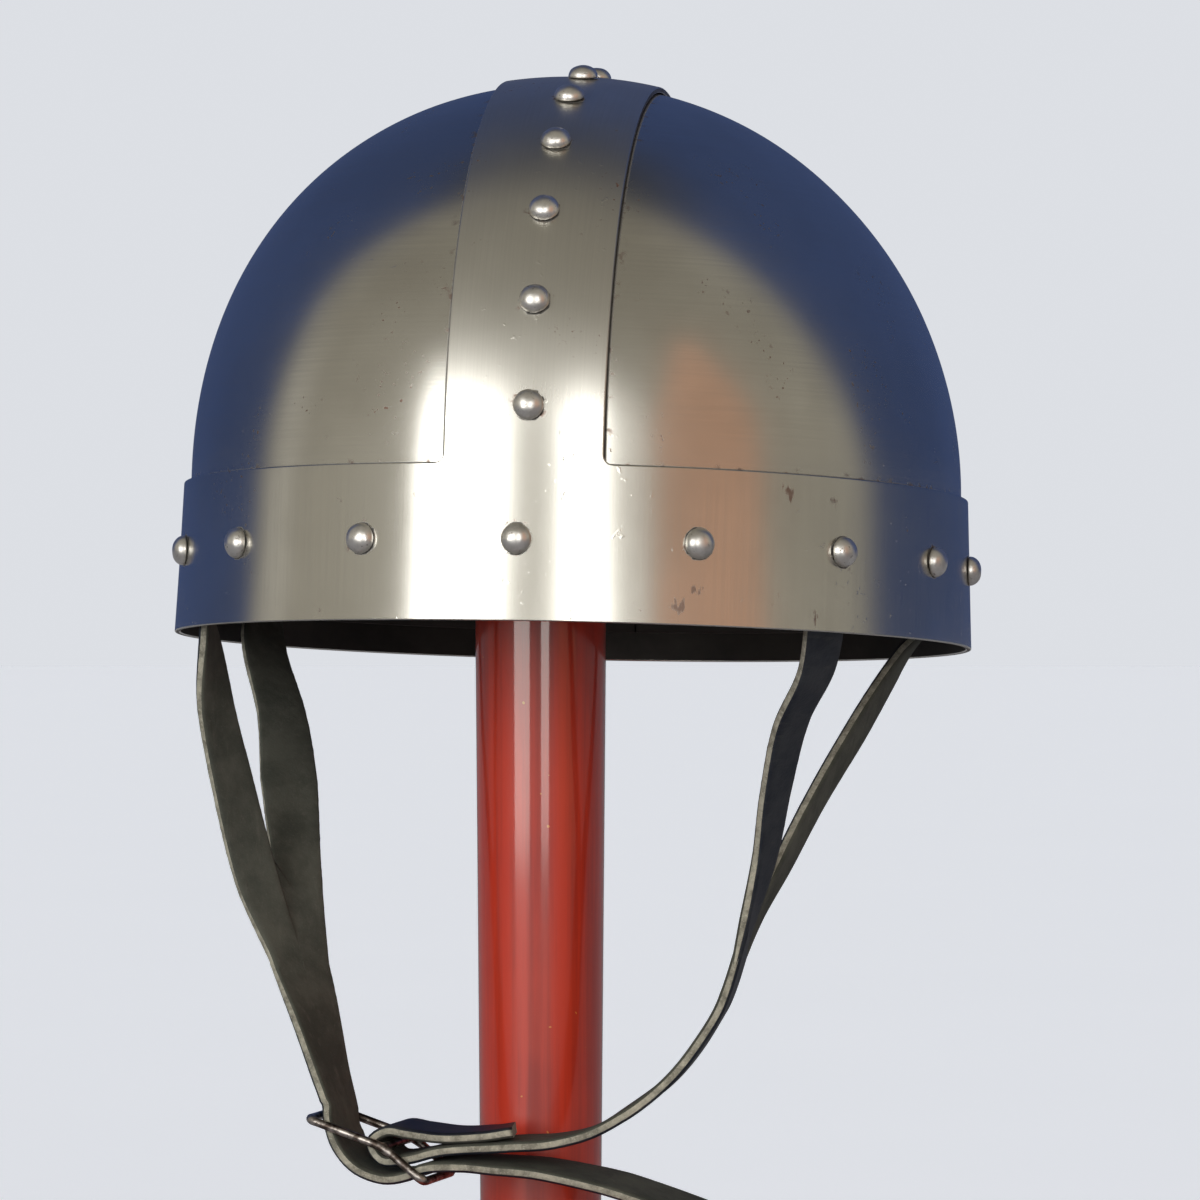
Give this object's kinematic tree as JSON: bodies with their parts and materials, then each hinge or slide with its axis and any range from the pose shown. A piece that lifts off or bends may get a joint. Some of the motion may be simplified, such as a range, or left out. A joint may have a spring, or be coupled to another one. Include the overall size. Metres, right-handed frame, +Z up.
{
  "type": "norse iron helmet on a wooden post stand",
  "caption": "Round riveted iron helmet with a brow band, a crown strip and a leather chin strap, on a turned wooden post stand.",
  "frame": {"origin": "centre of the stand base's underside", "axes": "+Z up along the post, -Y the way the helmet faces, +X towards the wearer's left"},
  "size_m": [0.22, 0.2496, 0.4029],
  "materials": {
    "steel": "brushed and worn, with fine polishing lines and a few rust specks",
    "rivet_iron": "domed by hand, satin",
    "leather": "dark grain face with pale raw cut edges",
    "buckle_wire": "plain round wire, tarnished",
    "lacquered_wood": "glossy red-brown lacquer"
  },
  "bodies": {
    "root": {"helmet_frame": "steel", "plate_left": "steel", "plate_right": "steel", "strap_left": "leather", "strap_right": "leather", "buckle": "buckle_wire", "stand_post": "lacquered_wood", "stand_base": "lacquered_wood", "brow_rivet_01": "rivet_iron", "brow_rivet_02": "rivet_iron", "brow_rivet_03": "rivet_iron", "brow_rivet_04": "rivet_iron", "brow_rivet_05": "rivet_iron", "brow_rivet_06": "rivet_iron", "brow_rivet_07": "rivet_iron", "brow_rivet_08": "rivet_iron", "brow_rivet_09": "rivet_iron", "brow_rivet_10": "rivet_iron", "brow_rivet_11": "rivet_iron", "brow_rivet_12": "rivet_iron", "brow_rivet_13": "rivet_iron", "brow_rivet_14": "rivet_iron", "brow_rivet_15": "rivet_iron", "brow_rivet_16": "rivet_iron", "ridge_rivet_01": "rivet_iron", "ridge_rivet_02": "rivet_iron", "ridge_rivet_03": "rivet_iron", "ridge_rivet_04": "rivet_iron", "ridge_rivet_05": "rivet_iron", "ridge_rivet_06": "rivet_iron", "ridge_rivet_07": "rivet_iron", "ridge_rivet_08": "rivet_iron", "ridge_rivet_09": "rivet_iron", "ridge_rivet_10": "rivet_iron", "ridge_rivet_11": "rivet_iron", "ridge_rivet_12": "rivet_iron"}
  },
  "joints": []
}
